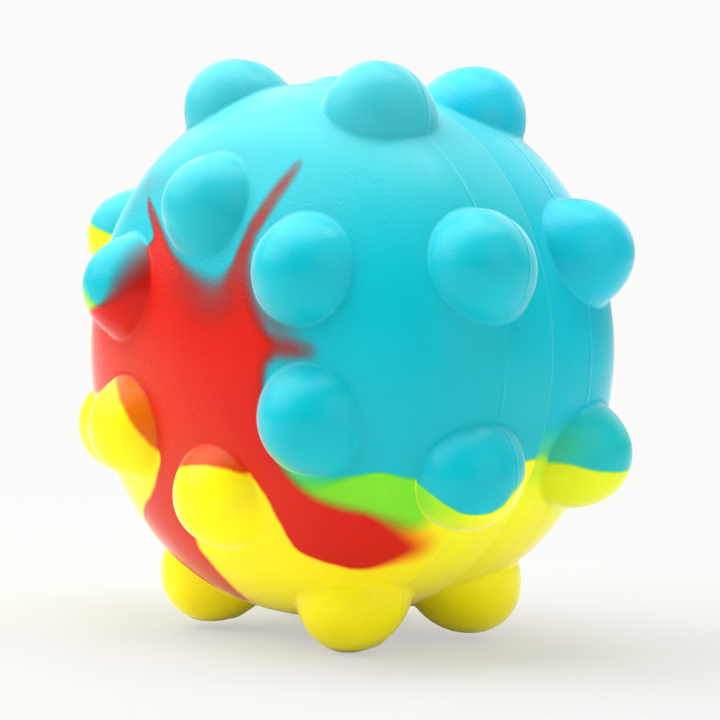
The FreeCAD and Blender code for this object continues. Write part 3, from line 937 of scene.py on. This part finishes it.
# A pale floor that runs out into a plain white surround, and a white room that is dim on the camera's side
# The camera sees the floor a little darker than the ball does, and a share of it glows as the surround does
studio = {
    "floorColour": (0.77, 0.77, 0.76),
    "floorSeen": (0.445, 0.445, 0.435),
    "surround": (0.965, 0.962, 0.955),
    "floorGlow": 0.52,
    "nearFade": 0.045,
    "farFade": 0.30,
    "roomLight": 0.12,
    "dimSide": (0.68, -0.73, 0.05),
    "dimTo": 0.15,
    "dimReach": 0.35,
    "floorHalf": 3.0,
    "floorRoughness": 0.9,
    "floorGloss": 0.1,
}


def makeStudio():
    mesh = bpy.data.meshes.new("floor")
    half = studio["floorHalf"]
    corners = [(-half, -half, 0), (half, -half, 0), (half, half, 0), (-half, half, 0)]
    mesh.from_pydata(corners, [], [(0, 1, 2, 3)])
    floor = bpy.data.objects.new("floor", mesh)
    bpy.context.scene.collection.objects.link(floor)
    material, start, shader = newMaterial("studio_floor")
    shader.inputs["Roughness"].default_value = studio["floorRoughness"]
    shader.inputs["Specular IOR Level"].default_value = studio["floorGloss"]
    at = start.add("ShaderNodeTexCoord", {}, {}, "Object")
    away = at.add("ShaderNodeVectorMath", {"operation": "LENGTH"}, {0: at}, "Value")
    far = ((away - studio["nearFade"]) / (studio["farFade"] - studio["nearFade"])).eased()
    far = far * (1 - studio["floorGlow"]) + studio["floorGlow"]
    seen = start.add("ShaderNodeLightPath", {}, {}, "Is Camera Ray")
    colour = mixColours((*studio["floorColour"], 1), (*studio["floorSeen"], 1), seen)
    material.node_tree.links.new(colour.socket, shader.inputs["Base Color"])
    glow = start.add("ShaderNodeEmission", {}, {"Color": (*studio["surround"], 1), "Strength": 1.0})
    mixed = start.add("ShaderNodeMixShader", {}, {0: far * seen, 1: Wire(start.tree, shader.outputs[0]), 2: glow})
    output = material.node_tree.nodes["Material Output"]
    material.node_tree.links.new(mixed.socket, output.inputs["Surface"])
    mesh.materials.append(material)

    world = bpy.data.worlds.new("studio_room")
    bpy.context.scene.world = world
    world.use_nodes = True
    start = Wire(world.node_tree)
    towards = start.add("ShaderNodeTexCoord", {}, {}, "Generated")
    sides = {0: towards, 1: studio["dimSide"]}
    facing = towards.add("ShaderNodeVectorMath", {"operation": "DOT_PRODUCT"}, sides, "Value")
    dim = (facing + studio["dimReach"]).eased()
    light = studio["roomLight"] * (1 - (1 - studio["dimTo"]) * dim)
    seen = start.add("ShaderNodeLightPath", {}, {}, "Is Camera Ray")
    strength = seen + (1 - seen) * light
    background = world.node_tree.nodes["Background"]
    background.inputs["Color"].default_value = (*studio["surround"], 1)
    world.node_tree.links.new(strength.socket, background.inputs["Strength"])


makeStudio()

# The camera stands to the right of the front pole, a little above the middle of the ball
viewpoint = {
    "azimuth": 42.86,
    "elevation": 2.67,
    "roll": 1.86,
    "distance": 322.76,
    "aim": (1.21, 1.04, -1.30),
    "lens": 129.35,
    "sensor": 36.0,
    "sees": (0.01, 20.0),
}


def makeCamera():
    data = bpy.data.cameras.new("camera")
    data.lens = viewpoint["lens"]
    data.sensor_width = viewpoint["sensor"]
    data.clip_start, data.clip_end = viewpoint["sees"]
    camera = bpy.data.objects.new("camera", data)
    bpy.context.scene.collection.objects.link(camera)
    azimuth, elevation = math.radians(viewpoint["azimuth"]), math.radians(viewpoint["elevation"])
    back = Vector((
        math.sin(azimuth) * math.cos(elevation),
        -math.cos(azimuth) * math.cos(elevation),
        math.sin(elevation),
    ))
    aim = Vector(ballMiddle) + Vector(viewpoint["aim"])
    turn = (-back).to_track_quat("-Z", "Y").to_matrix()
    turn = turn @ Matrix.Rotation(math.radians(viewpoint["roll"]), 3, "Z")
    camera.matrix_world = Matrix.Translation((aim + back * viewpoint["distance"]) * mm) @ turn.to_4x4()
    bpy.context.scene.camera = camera


makeCamera()

# Soft boxes round the ball, placed as the camera sees them: metres to the right, nearer and up, metres a side, watts
softBoxes = {
    "overhead": (0.0, 0.0, 0.80, 0.60, 6.0),
    "upper_right": (0.30, -0.10, 0.70, 0.16, 0.8),
    "left": (-0.62, 0.06, 0.60, 0.90, 10.6),
    "back_left": (-0.30, -0.50, 0.55, 0.60, 2.6),
    "back_right": (0.40, -0.50, 0.45, 0.60, 1.6),
    "low_right": (0.68, 0.55, 0.35, 0.90, 4.4),
}


def addLamps():
    turned = math.radians(viewpoint["azimuth"])
    right = Vector((math.cos(turned), math.sin(turned)))
    toCamera = Vector((math.sin(turned), -math.cos(turned)))
    for name, (across, near, up, side, power) in softBoxes.items():
        data = bpy.data.lights.new(name + "_softbox", "AREA")
        data.size = side
        data.energy = power
        lamp = bpy.data.objects.new(name + "_softbox", data)
        bpy.context.scene.collection.objects.link(lamp)
        place = (right * across + toCamera * near).to_3d() + Vector((0, 0, up))
        lamp.location = place
        lamp.rotation_euler = (Vector((0, 0, ballHeight * mm)) - place).to_track_quat("-Z", "Y").to_euler()


addLamps()
print("set up the floor, the room, the camera and", len(softBoxes), "soft boxes")

bpy.context.scene.view_settings.view_transform = "Standard"
